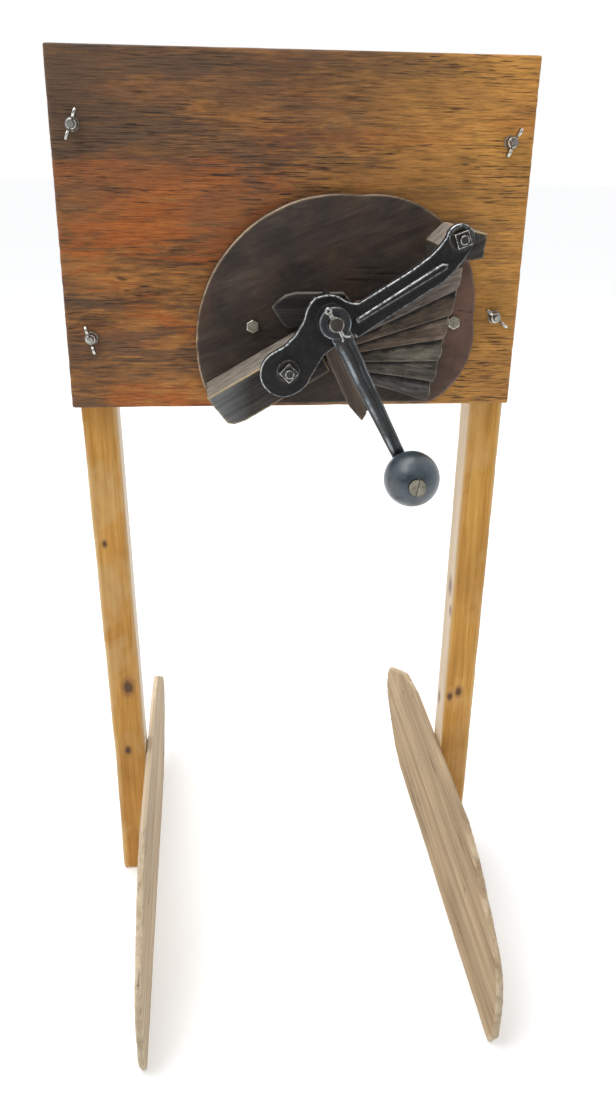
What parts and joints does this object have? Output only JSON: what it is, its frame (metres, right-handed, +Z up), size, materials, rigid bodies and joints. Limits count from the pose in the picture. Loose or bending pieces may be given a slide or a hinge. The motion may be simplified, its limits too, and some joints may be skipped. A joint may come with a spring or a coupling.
{
  "type": "corn sheller",
  "caption": "Hand-cranked corn sheller on a wooden display stand: round wooden back plate, cast-iron bridge, fan of wooden leaves, iron crank with a ball knob.",
  "frame": {"origin": "on the floor, under the middle of the stand's bounding box", "axes": "+Z up, -Y towards the operator (the crank side), +X to the operator's right"},
  "size_m": [0.43, 0.59, 0.891],
  "materials": {
    "plywood": "stained plywood, orange-brown with dark grain, satin varnish",
    "pine": "varnished yellow pine, satin",
    "weathered_plank": "unfinished grey-tan plank with open grain",
    "dark_wood": "old dark brown wood with a worn, oily face",
    "block_wood": "weathered grey-brown hardwood, worn pale along the top",
    "leaf_wood": "weathered brown hardwood with cracks and dark ends",
    "slat_wood": "light brown weathered wood",
    "black_iron": "black-painted cast iron, worn shiny along the edges",
    "dark_iron": "dark oily iron",
    "zinc": "dull zinc-plated steel",
    "dull_brass": "dull, pale brass-coloured plating",
    "painted_wood": "turned wood painted slate black, rubbed to a sheen"
  },
  "bodies": {
    "stand": {"backboard": "plywood", "left_leg": "pine", "right_leg": "pine", "left_foot": "weathered_plank", "right_foot": "weathered_plank", "foot_screws": "zinc", "leg_bolts": "zinc", "wing_nuts": "zinc", "wing_washers": "zinc", "back_plate": "dark_wood", "plate_bolts": "dull_brass", "plate_nuts": "dull_brass", "rear_bearing_block": "dark_wood", "rear_bushing": "dark_iron", "long_block": "block_wood", "short_block": "block_wood", "iron_bridge": "black_iron", "bridge_bolts": "dark_iron", "bridge_washers": "dark_iron", "bridge_nuts": "dark_iron", "leaf_1": "leaf_wood", "leaf_2": "leaf_wood", "leaf_3": "leaf_wood", "leaf_4": "leaf_wood", "leaf_5": "leaf_wood", "leaf_6": "leaf_wood", "leaf_nails": "dark_iron", "front_slat": "slat_wood", "second_slat": "slat_wood", "slat_nails": "dark_iron"},
    "crank": {"crankshaft": "dark_iron", "shelling_drum": "dark_iron", "drum_pin": "dark_iron", "shaft_collar": "dark_iron", "collar_screw": "dark_iron", "crank_arm": "black_iron", "cross_pin": "zinc", "knob_washer": "zinc", "knob_screw": "dull_brass"},
    "knob": {"ball_knob": "painted_wood"}
  },
  "joints": [
    {"name": "crank_turn", "type": "hinge", "parent": "stand", "child": "crank", "pos_m": [0.0235, -0.119, 0.678], "axis": [0, -1, 0], "continuous": true},
    {"name": "knob_spin", "type": "hinge", "parent": "crank", "child": "knob", "pos_m": [0.09069, -0.15, 0.54838], "axis": [0, -1, 0], "continuous": true}
  ]
}
